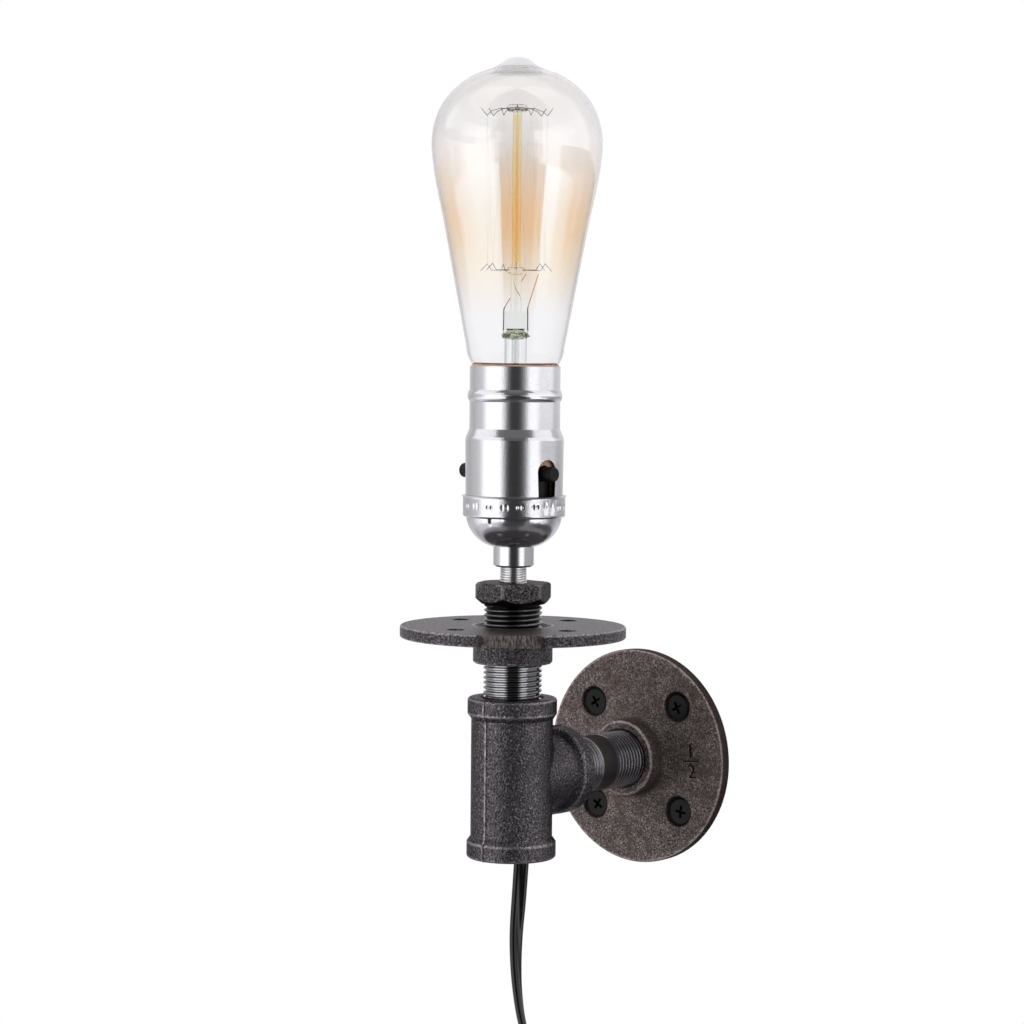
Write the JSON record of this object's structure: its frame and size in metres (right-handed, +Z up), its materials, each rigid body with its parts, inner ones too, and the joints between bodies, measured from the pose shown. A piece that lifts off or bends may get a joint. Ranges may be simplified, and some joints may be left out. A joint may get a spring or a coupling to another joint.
{
  "type": "pipe wall light",
  "caption": "Black iron pipe wall light: threaded arm and tee from a wall flange, a shelf flange, a polished metal push-through socket, a cage-filament bulb and a plug-in cord",
  "frame": {"origin": "centre of the wall flange's back face, on the wall plane", "axes": "+Y points into the wall, +Z is up along the lamp, +X is to the right for someone who faces the wall"},
  "size_m": [0.0977, 0.1376, 0.52],
  "materials": {
    "black_iron": "satin",
    "black_screws": "satin",
    "zinc_steel": "satin",
    "polished_metal": "gloss",
    "fibre_board": "matte",
    "tan_fibre": "matte",
    "moulded_phenolic": "satin",
    "bright_brass": "satin",
    "switch_rod": "satin",
    "dark_knob": "gloss",
    "spring_steel": "satin",
    "amber_glass": "gloss",
    "clear_glass": "gloss",
    "support_wire": "satin",
    "filament_wire": "matte",
    "base_metal": "satin",
    "black_glass": "gloss",
    "cord_vinyl": "satin",
    "tie_rubber": "matte",
    "plug_vinyl": "satin",
    "blade_metal": "satin"
  },
  "bodies": {
    "fixture": {"wall_flange": "black_iron", "wall_screws": "black_screws", "arm_nipple": "black_iron", "tee": "black_iron", "riser_nipple": "black_iron", "shelf_flange": "black_iron", "hex_bushing": "black_iron", "lamp_nipple": "zinc_steel", "neck_bushing": "zinc_steel", "set_screw": "zinc_steel", "socket_cap": "polished_metal", "cap_liner": "fibre_board", "socket_shell": "polished_metal", "insulating_sleeve": "tan_fibre", "switch_base": "moulded_phenolic", "switch_top": "moulded_phenolic", "body_rivets": "bright_brass", "detent_spring": "spring_steel", "terminal_straps": "bright_brass", "terminal_screws": "bright_brass", "center_contact": "bright_brass", "screw_shell": "bright_brass", "cord_inner": "cord_vinyl", "lead_wires": "cord_vinyl", "cord_drop": "cord_vinyl", "cord_coil": "cord_vinyl", "cord_tail": "cord_vinyl", "cord_tie": "tie_rubber", "plug_body": "plug_vinyl", "plug_blades": "blade_metal"},
    "switch_rod": {"push_rod": "switch_rod", "push_knobs": "dark_knob", "bridge_contact": "bright_brass"},
    "bulb_lift": {"base_contact": "base_metal"},
    "bulb": {"bulb_glass": "amber_glass", "bulb_stem": "clear_glass", "stem_post": "clear_glass", "upper_supports": "support_wire", "lower_supports": "support_wire", "filament": "filament_wire", "bulb_leads": "support_wire", "base_shell": "base_metal", "base_insulator": "black_glass"}
  },
  "joints": [
    {"name": "push_switch", "type": "slide", "parent": "fixture", "child": "switch_rod", "axis": [0.9903, -0.1392, 0], "range_m": [0, 0.0065]},
    {"name": "bulb_rise", "type": "slide", "parent": "fixture", "child": "bulb_lift", "axis": [0, 0, 1], "range_m": [0, 0.01452]},
    {"name": "bulb_turn", "type": "hinge", "parent": "bulb_lift", "child": "bulb", "pos_m": [0, -0.0805, 0.147], "axis": [0, 0, 1], "range_deg": [0, 1440]}
  ],
  "couplings": [
    {"joint": "bulb_rise", "follows": "bulb_turn", "m_per_rad": 0.00057758}
  ]
}
